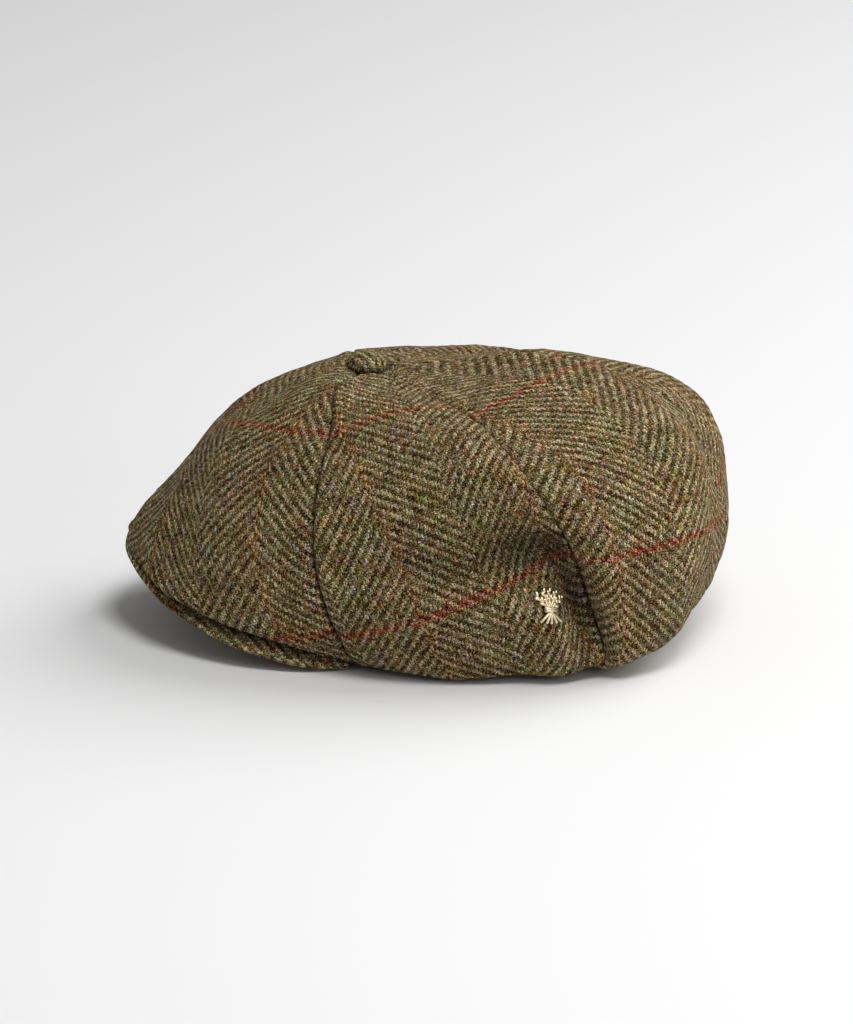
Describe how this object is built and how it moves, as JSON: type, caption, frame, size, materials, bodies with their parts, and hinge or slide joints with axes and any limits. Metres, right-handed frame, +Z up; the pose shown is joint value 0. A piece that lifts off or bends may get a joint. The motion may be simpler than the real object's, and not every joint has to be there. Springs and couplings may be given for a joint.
{
  "type": "hunting cap",
  "caption": "Soft tweed cap with cloth panels gathered under a covered button, a stiff cloth-covered peak, a head band and a small metal pin.",
  "frame": {"origin": "on the surface the cap rests on, under the middle of its box", "axes": "+Z up, -Y towards the peak's tip, +X towards the wearer's left"},
  "size_m": [0.2171, 0.2853, 0.1346],
  "materials": {
    "tweed": "thick woollen herringbone tweed in olive, tan and dark brown with a thin red and rust window check, hairy and matt",
    "band_cloth": "plain dark brown twill sweat band, matt",
    "pale_gilt": "cast pin with a pale gilt plating, satin with brighter edges"
  },
  "bodies": {
    "root": {"front_left_panel": "tweed", "front_right_panel": "tweed", "side_left_panel": "tweed", "side_right_panel": "tweed", "back_left_panel": "tweed", "back_right_panel": "tweed", "button": "tweed", "peak": "tweed", "headband": "band_cloth", "badge": "pale_gilt"}
  },
  "joints": []
}
